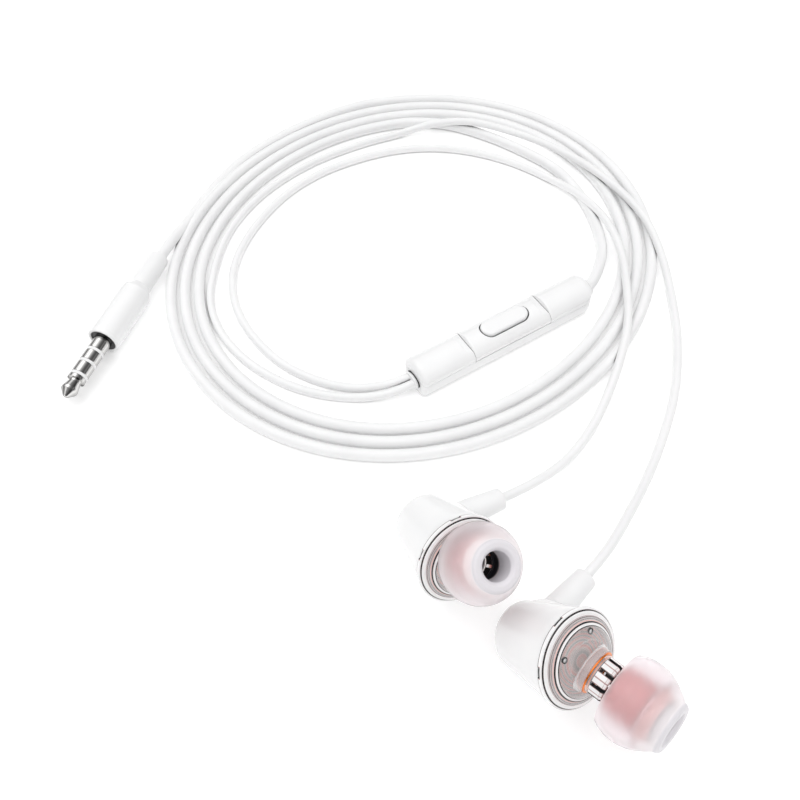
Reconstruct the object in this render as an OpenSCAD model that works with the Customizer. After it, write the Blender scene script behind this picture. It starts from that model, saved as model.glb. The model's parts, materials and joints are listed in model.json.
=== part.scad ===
// Wired in-ear earphones lying on a surface: two angled ear pieces, an in-line
// remote, a 3.5 mm four-pole plug and a cord wound into a loose coil.
// Millimetres, +Z up, the surface is z = 0.

/* [Ear pieces] */
// Diameter of the clear front rim
rim_d = 15.4; // [15.2:0.1:16]
// Diameter of the rear housing where it meets the rim
housing_d = 14.6; // [14.4:0.1:14.8]
// Diameter of the rear housing just before its rounded back
back_d = 10.8; // [10.4:0.1:11]
// Length of the rear housing behind the rim
housing_len = 13.8; // [13:0.1:14]
// Wall thickness of the housings
wall = 0.9; // [0.8:0.05:1]
// Angle between the housing axis and the nozzle axis
nozzle_tilt = 28; // [26:0.5:29]
// Length of the slotted crown that carries the ear tip
crown_len = 3; // [2.8:0.1:3.2]
// Outer diameter of the crown
crown_d = 6.2; // [6:0.1:6.3]
// Distance of the cable outlet behind the rim
outlet_back = 9.5; // [9:0.1:10]
// Reach of the strain relief from the housing axis
relief_reach = 14; // [13:0.1:15]

/* [Ear tips] */
// Largest diameter of the silicone tip
tip_d = 12.8; // [12.6:0.1:13]
// Length of the silicone tip
tip_len = 9.4; // [9.4:0.1:10]
// Sound bore at the front of the tip
tip_bore_d = 4.6; // [4.4:0.1:5]
// Gap from the nozzle root to the rim of a seated tip
seat_gap = 0.5; // [0.5:0.05:0.7]
// Gap between the crown's end and the rim of the pulled-off tip
off_gap = 0.5; // [0.1:0.05:0.6]

/* [Remote] */
// Length of the remote
remote_len = 41.6; // [40:0.2:44]
// Width of the remote
remote_w = 7.4; // [7.2:0.1:7.8]
// Height of the remote
remote_h = 6.4; // [6.2:0.1:6.8]
// Height of the lower shell
lower_h = 3.4; // [3.2:0.1:3.5]
// Length of the rocking volume key
rocker_len = 18; // [17:0.5:19]
// Length of the oval call button
button_len = 10.6; // [10:0.1:11.2]
// Width of the oval call button
button_w = 3.6; // [3.2:0.1:3.8]
// Travel of the call button
button_travel = 0.3; // [0.2:0.05:0.3]

/* [Plug] */
// Diameter of the plug's shaft
plug_d = 3.5; // [3.5:0.1:3.5]
// Length of the plug's shaft
plug_len = 14; // [14:0.1:14]
// Diameter of the plug's grip
grip_d = 6.5; // [6:0.1:6.5]
// Length of the plug's grip
grip_len = 14.6; // [14:0.1:15.2]
// Length of the plug's strain relief
plug_relief_len = 9; // [8:0.1:9.5]

/* [Cord] */
// Diameter of the main cord
main_d = 2.3; // [2.2:0.1:2.4]
// Diameter of each lead to an ear piece
lead_d = 1.7; // [1.6:0.1:1.8]
// Turns of the main cord in the coil
coil_turns = 3; // [3:1:3]
// Radius of the coil's outermost turn
coil_r = 51.8; // [51.5:0.1:52]
// Distance from each turn of the coil to the next
coil_pitch = 2.9; // [2.8:0.05:3]
// How far the coil is stretched along its diagonal
coil_stretch = 2.8; // [2.5:0.1:3]

/* [Hidden] */
$fn = 48;

// Places and directions. An ear piece's own frame has +Z along its housing axis towards
// the front and +X along its cable outlet; each entry is [place of the rim's centre,
// azimuth and elevation of the axis, roll about it, side the nozzle leans to].
left_place = [[-10.6, 7.7, 9.97], -59, 27, 83, 1];
right_place = [[5.7, -9, 11.36], -44, 37.5, 90, -1];
nozzle_root = [0, 1.3, 3.4];
remote_place = [0.2, 59.4, 0];
remote_turn = 32.5;
plug_place = [-82.5, 43.5, 3.25];
plug_turn = 71;
coil_place = [-17.5, 82.5];

// Inside the remote: the board's underside and thickness, the place of the volume switches
// from the middle, the key's stub pins, and the microphone under the board.
board_z = 1.8;
board_t = 0.8;
volume_at = 6.6;
pin_z = 4.4;
pin_r = 0.4;
mic_at = 11;
mic_size = [3.2, 2.6, 0.9];

// Clearances between pieces that move and pieces that only touch.
slide_fit = 0.03;
key_gap = 0.25;
rocker_gap = 0.1;
rocker_lift = 0.2;

// Front shell steps, outside in: [radius, height].
shell_steps = [[rim_d / 2, 0.7], [7.2, 1], [6.6, 1.15], [5.9, 1.6], [5.2, 2]];
neck_r = 3.5;
bore_r = 2.4;
seal_t = 0.3;
core_r = 3.75;
core_len = 4.7;
stem_r = 4.15;

// Route of the plug's end of the main cord, from the strain relief to the coil.
plug_end_route = [
    [-70.4, 78.6, 3.2], [-68.5, 84.5, 2.8], [-66.8, 90, 1.7], [-64.8, 96, 1.15], [-61, 104.5, 1.15],
    [-55.5, 113, 1.15], [-48, 120.5, 1.15], [-38, 127.8, 1.15], [-28, 132.5, 1.15],
    [-17, 134.3, 1.15]
];
// Route of the other end, from the coil to the remote.
remote_end_route = [
    [-18, 125.6, 1.15], [-9, 124.8, 1.15], [0, 121, 1.15], [9, 115, 1.15], [16, 108.5, 1.15],
    [20.5, 100, 1.15], [22.8, 91, 1.15], [23, 83, 1.5], [21.2, 76.5, 2.3], [19.4, 72.6, 2.8],
    [18, 70.7, 3]
];
// Route of the lead to the left ear piece, from the remote.
lead_left_route = [
    [-18.1, 48.8, 2.4], [-23.5, 47.4, 1.4], [-30, 47.4, 0.85], [-37, 49.5, 0.85], [-44, 54, 0.85],
    [-50, 61, 0.85], [-53.5, 68, 0.85], [-55, 76, 0.85], [-54, 84, 0.85], [-50.5, 93, 0.85],
    [-45, 101.5, 0.85], [-38, 108, 0.85], [-30, 112.6, 0.85], [-21, 115.8, 0.85],
    [-12, 116.7, 0.85], [-3, 115.3, 0.85], [6, 111.6, 0.85], [14, 105.9, 1.1], [20.2, 98.8, 2.4],
    [24.6, 90, 3.2], [26.4, 81, 3.3], [26.3, 72, 3.3], [25.2, 62, 3.3], [22.6, 53, 2.5],
    [19.2, 45, 1], [14.8, 37, 0.85], [9.5, 30.4, 1.3], [3.5, 25.2, 3], [-3.2, 21.2, 3.9]
];
// Route of the lead to the right ear piece, from the remote.
lead_right_route = [
    [-17.1, 47.3, 2.4], [-22.5, 45.4, 1.4], [-29, 45, 0.85], [-36, 46, 0.85], [-43, 48.8, 0.85],
    [-50, 53.8, 0.85], [-55.5, 60.5, 0.85], [-58.6, 68, 0.85], [-59.1, 77, 0.85],
    [-57.4, 88, 0.85], [-53.5, 97, 0.85], [-47.5, 105, 0.85], [-39.5, 112, 0.85],
    [-30, 117.6, 0.85], [-20, 121.6, 1.1], [-11.5, 123.4, 2.6], [-3, 123, 3.3], [6, 119.6, 3.3],
    [14.5, 114.6, 3.3], [22, 108.2, 3.3], [28.5, 99.8, 3.3], [33, 90.5, 3.3], [35, 81, 2.6],
    [35.8, 71, 1.1], [35.2, 60, 0.85], [32.6, 47, 0.85], [28.6, 36.5, 0.85], [24.2, 27.5, 1.6],
    [19, 18.6, 3.8], [14.2, 11.3, 5.4], [9.6, 6, 5.6]
];

// Colours of the finished pieces.
white = [0.95, 0.95, 0.95];
clear = [0.85, 0.87, 0.9, 0.4];
silicone = [0.93, 0.9, 0.92, 0.7];
pink = [0.8, 0.35, 0.33];
steel = [0.5, 0.5, 0.52];
dark = [0.12, 0.12, 0.13];
copper = [0.85, 0.4, 0.12];

// ---------- placing ----------

// Puts a child from an ear piece's own frame into its place.
module at_bud(place) {
    translate(place[0]) rotate([0, 0, place[1]]) rotate([0, 90 - place[2], 0])
        rotate([0, 0, place[3]]) children();
}

// Puts a child from the nozzle's frame (+Z along the sound bore) into its place.
module at_nozzle(place) {
    at_bud(place) translate([nozzle_root[0], place[4] * nozzle_root[1], nozzle_root[2]])
        rotate([-place[4] * nozzle_tilt, 0, 0]) children();
}

// Puts a child from the remote's frame (+X towards the plug) into its place.
module at_remote() {
    translate(remote_place) rotate([0, 0, remote_turn]) children();
}

// Puts a child from the plug's frame (+Z from the tip towards the cord) into its place.
module at_plug() {
    translate(plug_place) rotate([0, 0, plug_turn]) rotate([0, 90, 0]) children();
}

// A ring or a washer on the Z axis.
module ring(r_out, r_in, z_from, z_to) {
    translate([0, 0, z_from]) difference() {
        cylinder(h = z_to - z_from, r = r_out);
        translate([0, 0, -1]) cylinder(h = z_to - z_from + 2, r = r_in);
    }
}

// A disc on the Z axis.
module disc(r, z_from, z_to) {
    translate([0, 0, z_from]) cylinder(h = z_to - z_from, r = r);
}

// ---------- ear pieces ----------

// Half outline of the rear housing, inset by t.
module housing_outline(t) {
    r_front = housing_d / 2 - t;
    r_back = back_d / 2 - t;
    round_r = 3.2 - t;
    z_front = -seal_t;
    z_corner = -housing_len + t + round_r;
    intersection() {
        translate([0, -housing_len - 1]) square([rim_d, housing_len + 1 + z_front]);
        union() {
            polygon([[0, z_front], [r_front, z_front], [r_back, z_corner], [0, z_corner]]);
            translate([r_back - round_r, z_corner]) circle(round_r);
            translate([0, -housing_len + t]) square([r_back - round_r, round_r]);
        }
    }
}

module rear_housing(place) {
    boss_r = 2.7;
    bore = 1.9;
    color(white) at_bud(place) difference() {
        union() {
            rotate_extrude() housing_outline(0);
            translate([3.2, 0, -outlet_back]) rotate([0, 90, 0]) cylinder(h = 3.1, r = boss_r);
        }
        rotate_extrude() housing_outline(wall);
        translate([0, 0, -1.6]) cylinder(h = 2, r = 6.6);
        translate([3, 0, -outlet_back]) rotate([0, 90, 0]) cylinder(h = 4, r = bore);
    }
}

module strain_relief(place) {
    root = 6.3;
    color(white) at_bud(place) translate([0, 0, -outlet_back]) rotate([0, 90, 0]) {
        translate([0, 0, 3.4]) cylinder(h = 3, r = 1.9 - slide_fit);
        translate([0, 0, root]) cylinder(h = relief_reach - root - 0.4, r1 = 2.4, r2 = 1.9);
        translate([0, 0, relief_reach - 0.4]) cylinder(h = 0.4, r1 = 1.9, r2 = 1.6);
    }
}

module front_shell(place) {
    notches = 6;
    vent_r = 0.45;
    vent_at = [3, 3.6];
    color(clear) difference() {
        union() {
            at_bud(place) {
                for (step = shell_steps) cylinder(h = step[1], r = step[0]);
                translate([0, 0, 1.95]) cylinder(h = 0.6, r1 = 5, r2 = 3.4);
                translate([0, 0, -1.3]) cylinder(h = 1.4, r = 6.5);
            }
            at_nozzle(place) translate([0, 0, -2]) cylinder(h = 2, r = neck_r);
        }
        at_bud(place) {
            translate([0, 0, -1.4]) cylinder(h = 2.5, r = 5.6);
            translate([0, 0, 1]) cylinder(h = 0.6, r1 = 4.6, r2 = 3);
            for (s = [-1, 1]) translate([s * vent_at[0], -place[4] * vent_at[1], 0.5])
                cylinder(h = 3, r = vent_r);
            for (i = [0:notches - 1]) rotate([0, 0, 30 + i * 360 / notches])
                translate([rim_d / 2 - 0.35, -0.6, -0.1]) cube([1, 1.2, 0.45]);
        }
        at_nozzle(place) {
            translate([0, 0, -4]) cylinder(h = 6, r = bore_r);
            cylinder(h = 3, r = 3.65);
        }
    }
}

module seal_ring(place) {
    color(dark) at_bud(place) ring(7, 6.55, -seal_t, 0);
}

module nozzle_crown(place) {
    slots = 8;
    color(clear) at_nozzle(place) difference() {
        ring(crown_d / 2, bore_r, 0, crown_len);
        for (i = [0:slots - 1]) rotate([0, 0, i * 360 / slots + 10])
            translate([2, -0.25, 0.8]) cube([2, 0.5, crown_len]);
    }
}

module nozzle_ring(place) {
    color(copper) at_nozzle(place) ring(3.6, crown_d / 2, 0.05, 0.5);
}

module nozzle_mesh(place) {
    color(steel) at_nozzle(place) disc(bore_r - slide_fit, 0.2, 0.35);
}

module driver_frame(place) {
    color(dark) at_bud(place) difference() {
        disc(5.6 - slide_fit, -3.4, -0.9);
        disc(5, -2.8, 0);
        disc(3.9, -4, -2);
    }
}

module magnet(place) {
    color(steel) at_bud(place) disc(2.6, -4.1, -2.2);
}

module yoke(place) {
    color(steel) at_bud(place) difference() {
        disc(3.85, -4.9, -1.9);
        disc(3.3, -4.1, -1);
    }
}

module top_plate(place) {
    color(steel) at_bud(place) disc(2.7, -2.2, -1.9);
}

module voice_coil(place) {
    color(copper) at_bud(place) ring(3.15, 2.85, -3.4, -0.9);
}

module diaphragm(place) {
    color(clear) at_bud(place) disc(5.4, -0.9, -0.75);
}

module terminal_board(place) {
    color("darkgreen") at_bud(place) translate([-2.8, -1.4, -5.5]) cube([5.6, 2.8, 0.6]);
}

module cable_knot(place) {
    color(white) at_bud(place) translate([1.8, 0, -outlet_back]) sphere(r = 1.6);
}

// Half outline of the silicone tip, with u = 0 at the open rim.
module tip_outline() {
    r = tip_d / 2;
    bore = tip_bore_d / 2;
    outside = [[5.2, 0], [5.6, 0], [6, 1], [6.3, 2.2], [r, 3.4], [r - 0.15, 4.6], [5.85, 5.8],
        [5.3, 6.8], [4.7, 7.7], [4.1, 8.5]];
    lip = [[3.85, tip_len - 0.4], [3.5, tip_len], [2.7, tip_len], [bore, tip_len - 0.5]];
    stem = [[bore, core_len + 0.3], [core_r, core_len + 0.3], [core_r, 0.3], [stem_r, 0.3],
        [stem_r, 6.2]];
    inside = [[4.6, 6], [5.2, 5.3], [5.6, 4.4], [5.8, 3.3], [5.75, 2], [5.5, 1]];
    polygon(concat(outside, lip, stem, inside));
}

// Puts a child from the tip's frame into its place: seated, or pulled just off.
module at_tip(place, pulled) {
    at_nozzle(place) translate([0, 0, pulled ? crown_len + off_gap : seat_gap]) children();
}

module ear_tip(place, pulled) {
    color(silicone) at_tip(place, pulled) rotate_extrude() tip_outline();
}

module tip_core(place, pulled) {
    color(pink) at_tip(place, pulled)
        ring(core_r, crown_d / 2 + slide_fit, 0.3, core_len + 0.3);
}

// ---------- remote ----------

// Cross-section of the remote's outside, inset by t.
module remote_section(t) {
    crown_r = 4.6;
    side = remote_w / 2 - t;
    foot_r = 1.2;
    intersection() {
        translate([-side, t]) square([2 * side, remote_h - 2 * t]);
        translate([0, remote_h - crown_r]) circle(crown_r - t);
        union() {
            translate([-side, foot_r + t]) square([2 * side, remote_h]);
            for (s = [-1, 1]) translate([s * (side - foot_r), foot_r + t]) circle(foot_r);
            translate([foot_r - side, t]) square([2 * (side - foot_r), foot_r]);
        }
    }
}

// Plan of the remote: square at the lead end, rounded at the plug end.
module remote_plan(t) {
    half = remote_len / 2 - t;
    side = remote_w / 2 - t;
    corner = 2.4;
    translate([-half, -side]) square([2 * half - corner, 2 * side]);
    for (s = [-1, 1]) translate([half - corner, s * (side - corner)]) circle(corner);
    translate([0, corner - side]) square([half, 2 * (side - corner)]);
}

// The remote's solid shape, inset by t.
module remote_body(t) {
    intersection() {
        translate([-remote_len / 2 - 1, 0, 0]) rotate([90, 0, 90])
            linear_extrude(remote_len + 2) remote_section(t);
        translate([0, 0, -1]) linear_extrude(remote_h + 2) remote_plan(t);
    }
}

// A block across the remote from x_from to x_to and z_from to z_to.
module slab(x_from, x_to, z_from, z_to) {
    translate([x_from, -remote_w, z_from]) cube([x_to - x_from, 2 * remote_w, z_to - z_from]);
}

// The two shallow V-shaped dips across the top.
module dips() {
    for (s = [-1, 1]) translate([s * rocker_len / 2, 0, remote_h + 0.35]) rotate([0, 45, 0])
        cube([1.3, 2 * remote_w, 1.3], center = true);
}

// The oval plan of the call button, grown by g.
module oval(g) {
    r = button_w / 2 + g;
    for (s = [-1, 1]) translate([s * (button_len - button_w) / 2, 0]) circle(r);
    square([button_len - button_w, 2 * r], center = true);
}

module remote_lower_shell() {
    rib_at = [-12, 8];
    color(white) at_remote() {
        difference() {
            intersection() {
                remote_body(0);
                slab(-remote_len, remote_len, -1, lower_h);
            }
            intersection() {
                remote_body(wall);
                slab(-remote_len, remote_len, wall, remote_h);
            }
            outlets();
            translate([mic_at + mic_size[0] / 2, 0, -1]) cylinder(h = wall + 2, r = 0.4);
        }
        for (x = rib_at) translate([x, -2, wall - 0.1]) cube([1, 4, board_z - wall + 0.1]);
    }
}

// The openings that the cord's two grommets sit in.
module outlets() {
    translate([-remote_len / 2 - 1, 0, 2.4]) rotate([0, 90, 0]) cylinder(h = 4, r = 2.2);
    translate([remote_len / 2 - 3, 0, 3]) rotate([0, 90, 0]) cylinder(h = 4, r = 1.6);
}

// A fixed cap over one end of the remote.
module remote_cap(x_from, x_to) {
    difference() {
        intersection() {
            remote_body(0);
            slab(x_from, x_to, lower_h, remote_h + 1);
        }
        intersection() {
            remote_body(wall);
            slab(x_from + (x_from > 0 ? wall : 0), x_to - (x_to < 0 ? wall : 0), 0, remote_h);
        }
        dips();
        outlets();
    }
}

module remote_lead_cap() {
    color(white) at_remote() remote_cap(-remote_len, -rocker_len / 2 - rocker_gap);
}

module remote_plug_cap() {
    color(white) at_remote() remote_cap(rocker_len / 2 + rocker_gap, remote_len);
}

module remote_volume_rocker() {
    half = rocker_len / 2;
    color(white) at_remote() {
        difference() {
            intersection() {
                remote_body(0);
                slab(-half, half, lower_h + rocker_lift, remote_h + 1);
            }
            intersection() {
                remote_body(wall);
                slab(-half + wall, half - wall, 0, remote_h);
            }
            dips();
            translate([0, 0, lower_h]) linear_extrude(remote_h) oval(key_gap);
        }
        // Posts over the two volume switches, and the stub pins that the key rocks on.
        for (s = [-1, 1]) {
            translate([s * volume_at, 0, 0]) disc(0.6, 4.65, remote_h - wall + 0.1);
            translate([0, s * 2.4 - 0.5, pin_z]) rotate([-90, 0, 0]) cylinder(h = 1, r = pin_r);
        }
    }
}

module remote_rocker_rests() {
    color(steel) at_remote() for (s = [-1, 1])
        translate([-0.6, s * 2.1 - 0.25, board_z + board_t])
            cube([1.2, 0.5, pin_z - pin_r - slide_fit - board_z - board_t]);
}

module remote_button() {
    color(white) at_remote() {
        translate([0, 0, 4.9]) linear_extrude(1.7) oval(0);
        translate([0, 0, 6.6]) linear_extrude(0.15) oval(-0.3);
    }
}

module remote_switch_plunger() {
    color(dark) at_remote() disc(0.8, 4.05, 4.9);
}

module remote_switch_body() {
    color(steel) at_remote() difference() {
        translate([-1.6, -1.6, 2.6]) cube([3.2, 3.2, 1.7]);
        disc(0.85, 3.6, 5);
    }
}

module remote_volume_switches() {
    color(steel) at_remote() for (s = [-1, 1]) translate([s * volume_at, 0, 0]) {
        translate([-1.3, -1.3, board_z + board_t]) cube([2.6, 2.6, 1.4]);
        disc(0.7, 4, 4.4);
    }
}

module remote_circuit_board() {
    color("darkgreen") at_remote() translate([-15, -2.4, board_z]) cube([30, 4.8, board_t]);
}

module remote_microphone() {
    color(steel) at_remote() translate([mic_at, -mic_size[1] / 2, wall]) cube(mic_size);
}

module remote_lead_grommet() {
    color(dark) at_remote() translate([-remote_len / 2, 0, 2.4]) rotate([0, 90, 0]) {
        translate([0, 0, -0.7]) cylinder(h = 0.7, r = 2.35);
        cylinder(h = 1.6, r = 2.2 - slide_fit);
    }
}

module remote_main_grommet() {
    color(white) at_remote() translate([remote_len / 2, 0, 3]) rotate([0, 90, 0]) {
        translate([0, 0, -1.6]) cylinder(h = 1.6, r = 1.6 - slide_fit);
        cylinder(h = 0.8, r1 = 1.9, r2 = 1.6);
    }
}

// ---------- plug ----------

contact_r = plug_d / 2;
flange_r = 2.2;
mouth_r = 2.6;
mouth_depth = 0.7;
// Boundaries along the shaft: tip, three insulators, sleeve.
bands = [[4.6, 5.2], [7.7, 8.3], [10.6, 11.2]];

module plug_tip_contact() {
    color(steel) at_plug() rotate_extrude() polygon([
        [0, 0], [0.45, 0.05], [0.9, 0.45], [1.55, 1.3], [1.65, 1.6], [1.6, 2], [1.3, 3],
        [1.2, 3.5], [1.25, 3.75], [contact_r, 3.9], [contact_r, bands[0][0]], [0, bands[0][0]]
    ]);
}

module plug_ring_contact_1() {
    color(steel) at_plug() disc(contact_r, bands[0][1], bands[1][0]);
}

module plug_ring_contact_2() {
    color(steel) at_plug() disc(contact_r, bands[1][1], bands[2][0]);
}

module plug_sleeve_contact() {
    color(steel) at_plug() {
        disc(contact_r, bands[2][1], plug_len);
        disc(flange_r, plug_len, plug_len + mouth_depth);
    }
}

module plug_insulators() {
    color(white) at_plug() for (band = bands) disc(contact_r, band[0], band[1]);
}

module plug_collar() {
    color(dark) at_plug() ring(mouth_r, flange_r, plug_len + 0.1, plug_len + mouth_depth);
}

module plug_grip() {
    from = plug_len;
    to = plug_len + grip_len;
    color(white) at_plug() rotate_extrude() polygon([
        [0, from + mouth_depth], [mouth_r, from + mouth_depth], [mouth_r, from],
        [grip_d / 2 - 0.3, from], [grip_d / 2, from + 0.5], [grip_d / 2, to - 2],
        [grip_d / 2 - 0.25, to - 0.8], [grip_d / 2 - 0.8, to], [0, to]
    ]);
}

module plug_strain_relief() {
    from = plug_len + grip_len;
    color(white) at_plug() {
        translate([0, 0, from]) cylinder(h = plug_relief_len - 0.6, r1 = 2.3, r2 = 2.1);
        translate([0, 0, from + plug_relief_len - 0.6]) cylinder(h = 0.6, r1 = 2.1, r2 = 1.6);
    }
}

// ---------- cord ----------

// Point of the coil after t turns, and its direction from the coil's centre.
function coil_radius(t) = coil_r - coil_pitch * t + coil_stretch * sin(180 - 720 * t);
function coil_point(t, grow) = coil_place + (coil_radius(t) + grow)
    * [cos(90 - 360 * t), sin(90 - 360 * t)];

module cord_coil() {
    steps = 72;
    lap = 0.99;
    outer = [for (i = [0:steps]) coil_point(lap * i / steps + 0.005, main_d / 2)];
    inner = [for (i = [0:steps]) coil_point(coil_turns - 0.005 - lap * i / steps, -main_d / 2)];
    color(white) linear_extrude(main_d) polygon(concat(outer, inner));
}

function unit(v) = v / norm(v);
function along(route, i) = unit(route[min(i + 1, len(route) - 1)] - route[max(i - 1, 0)]);
// One ring of points square to the route.
function ring_points(route, i, r, sides) =
    let (d = along(route, i), side = unit(cross([0, 0, 1], d)), up = cross(d, side))
    [for (k = [0:sides - 1]) route[i] + r * (cos(360 * (k + 0.5) / sides) * side
        + sin(360 * (k + 0.5) / sides) * up)];

// A tube of diameter d swept along a route.
module tube(route, d, sides = 8) {
    n = len(route);
    r = d / 2 / cos(180 / sides) * 0.99;
    points = [for (i = [0:n - 1]) each ring_points(route, i, r, sides)];
    ends = [[for (k = [0:sides - 1]) k], [for (k = [0:sides - 1]) n * sides - 1 - k]];
    walls = [for (i = [0:n - 2], k = [0:sides - 1])
        let (a = i * sides + k, b = i * sides + (k + 1) % sides)
        each [[a, a + sides, b], [b, a + sides, b + sides]]];
    polyhedron(points, concat(ends, walls));
}

module cord_plug_end() {
    color(white) tube(plug_end_route, main_d);
}

module cord_remote_end() {
    color(white) tube(remote_end_route, main_d);
}

module cord_lead_left() {
    color(white) tube(lead_left_route, lead_d);
}

module cord_lead_right() {
    color(white) tube(lead_right_route, lead_d);
}

// ---------- the assembly ----------

rear_housing(left_place);  // left_rear_housing
strain_relief(left_place);  // left_strain_relief
front_shell(left_place);  // left_front_shell
seal_ring(left_place);  // left_seal_ring
nozzle_crown(left_place);  // left_nozzle_crown
nozzle_ring(left_place);  // left_nozzle_ring
nozzle_mesh(left_place);  // left_nozzle_mesh
driver_frame(left_place);  // left_driver_frame
magnet(left_place);  // left_magnet
yoke(left_place);  // left_yoke
top_plate(left_place);  // left_top_plate
voice_coil(left_place);  // left_voice_coil
diaphragm(left_place);  // left_diaphragm
terminal_board(left_place);  // left_terminal_board
cable_knot(left_place);  // left_cable_knot
ear_tip(left_place, false);  // left_ear_tip
tip_core(left_place, false);  // left_tip_core
rear_housing(right_place);  // right_rear_housing
strain_relief(right_place);  // right_strain_relief
front_shell(right_place);  // right_front_shell
seal_ring(right_place);  // right_seal_ring
nozzle_crown(right_place);  // right_nozzle_crown
nozzle_ring(right_place);  // right_nozzle_ring
nozzle_mesh(right_place);  // right_nozzle_mesh
driver_frame(right_place);  // right_driver_frame
magnet(right_place);  // right_magnet
yoke(right_place);  // right_yoke
top_plate(right_place);  // right_top_plate
voice_coil(right_place);  // right_voice_coil
diaphragm(right_place);  // right_diaphragm
terminal_board(right_place);  // right_terminal_board
cable_knot(right_place);  // right_cable_knot
ear_tip(right_place, true);  // right_ear_tip
tip_core(right_place, true);  // right_tip_core
remote_lower_shell();
remote_lead_cap();
remote_plug_cap();
remote_volume_rocker();
remote_button();
remote_switch_plunger();
remote_switch_body();
remote_volume_switches();
remote_rocker_rests();
remote_circuit_board();
remote_microphone();
remote_lead_grommet();
remote_main_grommet();
plug_tip_contact();
plug_ring_contact_1();
plug_ring_contact_2();
plug_sleeve_contact();
plug_insulators();
plug_collar();
plug_grip();
plug_strain_relief();
cord_coil();
cord_plug_end();
cord_remote_end();
cord_lead_left();
cord_lead_right();
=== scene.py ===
import json
import math

import bmesh
import bpy
from mathutils import Matrix, Vector
from mathutils.geometry import interpolate_bezier


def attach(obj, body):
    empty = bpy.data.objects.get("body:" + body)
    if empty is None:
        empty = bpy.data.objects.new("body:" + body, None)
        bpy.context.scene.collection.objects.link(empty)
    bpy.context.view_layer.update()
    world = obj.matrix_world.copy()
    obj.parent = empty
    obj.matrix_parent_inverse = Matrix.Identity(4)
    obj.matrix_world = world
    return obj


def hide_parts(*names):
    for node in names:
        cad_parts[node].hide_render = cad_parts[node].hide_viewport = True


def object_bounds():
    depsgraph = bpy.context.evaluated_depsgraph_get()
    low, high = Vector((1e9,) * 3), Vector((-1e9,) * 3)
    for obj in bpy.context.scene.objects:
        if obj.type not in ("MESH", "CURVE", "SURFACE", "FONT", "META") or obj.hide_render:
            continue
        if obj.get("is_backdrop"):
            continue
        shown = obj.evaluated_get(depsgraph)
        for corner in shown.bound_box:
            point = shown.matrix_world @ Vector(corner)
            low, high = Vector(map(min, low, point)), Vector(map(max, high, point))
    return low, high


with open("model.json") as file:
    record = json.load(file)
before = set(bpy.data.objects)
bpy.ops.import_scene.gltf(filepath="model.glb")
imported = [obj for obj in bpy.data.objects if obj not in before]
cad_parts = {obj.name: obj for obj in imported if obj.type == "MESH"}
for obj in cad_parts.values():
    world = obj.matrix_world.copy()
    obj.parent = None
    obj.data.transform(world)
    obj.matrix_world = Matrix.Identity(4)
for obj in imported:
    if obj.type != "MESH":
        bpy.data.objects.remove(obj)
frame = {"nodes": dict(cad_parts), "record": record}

CAD_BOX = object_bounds()
MM = 0.001

# ---------------------------------------------------------------- camera

VIEW_DOWN = 55          # degrees below the horizon
VIEW_DISTANCE = 173.4   # mm from the camera to the point it looks at
VIEW_POINT = (-20, 45, 0)


def make_camera():
    data = bpy.data.cameras.new("camera")
    data.sensor_width = 36
    data.lens = 40.96
    data.clip_start = 0.005
    camera = bpy.data.objects.new("camera", data)
    down = math.radians(VIEW_DOWN)
    back = Vector((0, -math.cos(down), math.sin(down))) * VIEW_DISTANCE
    camera.location = (Vector(VIEW_POINT) + back) * MM
    camera.rotation_euler = (math.radians(90 - VIEW_DOWN), 0, 0)
    bpy.context.scene.collection.objects.link(camera)
    bpy.context.scene.camera = camera


make_camera()

# ---------------------------------------------------------------- sizes, as in the CAD, in mm

TILT = 28                           # degrees from the housing's axis to the nozzle's
NOZZLE_ROOT = (1.3, 3.4)            # sideways and forward from the rim's centre
# Each ear piece's place, azimuth, elevation and roll, its side, and where its tip starts along
# the nozzle. The right tip is pulled off.
BUDS = {
    "left": dict(place=(-10.6, 7.7, 9.97), turn=(-59, 27, 83), side=1, tip_at=0.5),
    "right": dict(place=(5.7, -9, 11.36), turn=(-44, 37.5, 90), side=-1, tip_at=3.5),
}
RIM_R = 7.7
HOUSING_R = 7.3
BACK_R = 5.4
HOUSING_LEN = 13.8
WALL = 0.9
OUTLET_BACK = 9.5
RELIEF_REACH = 14
CROWN_R = 3.1
CROWN_LEN = 3
BORE_R = 2.4
TIP_R = 6.4
TIP_LEN = 9.4
TIP_BORE_R = 2.3
CORE_R = 3.75

REMOTE_PLACE = (0.2, 59.4, 0)
REMOTE_TURN = 32.5
REMOTE_HALF = 20.8
REMOTE_SIDE = 3.7
REMOTE_H = 6.4
REMOTE_CROWN_R = 4.6
LOWER_H = 3.4
ROCKER_HALF = 9
ROCKER_GAP = 0.1
ROCKER_LIFT = 0.2
BUTTON_LEN = 10.6
BUTTON_R = 1.8
KEY_GAP = 0.25

PLUG_PLACE = (-82.5, 43.5, 3.25)
PLUG_TURN = 71
PLUG_R = 1.75
PLUG_LEN = 14
GRIP_R = 3.25
GRIP_LEN = 14.6
PLUG_RELIEF_LEN = 9

MAIN_D = 2.3
LEAD_D = 1.7

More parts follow.
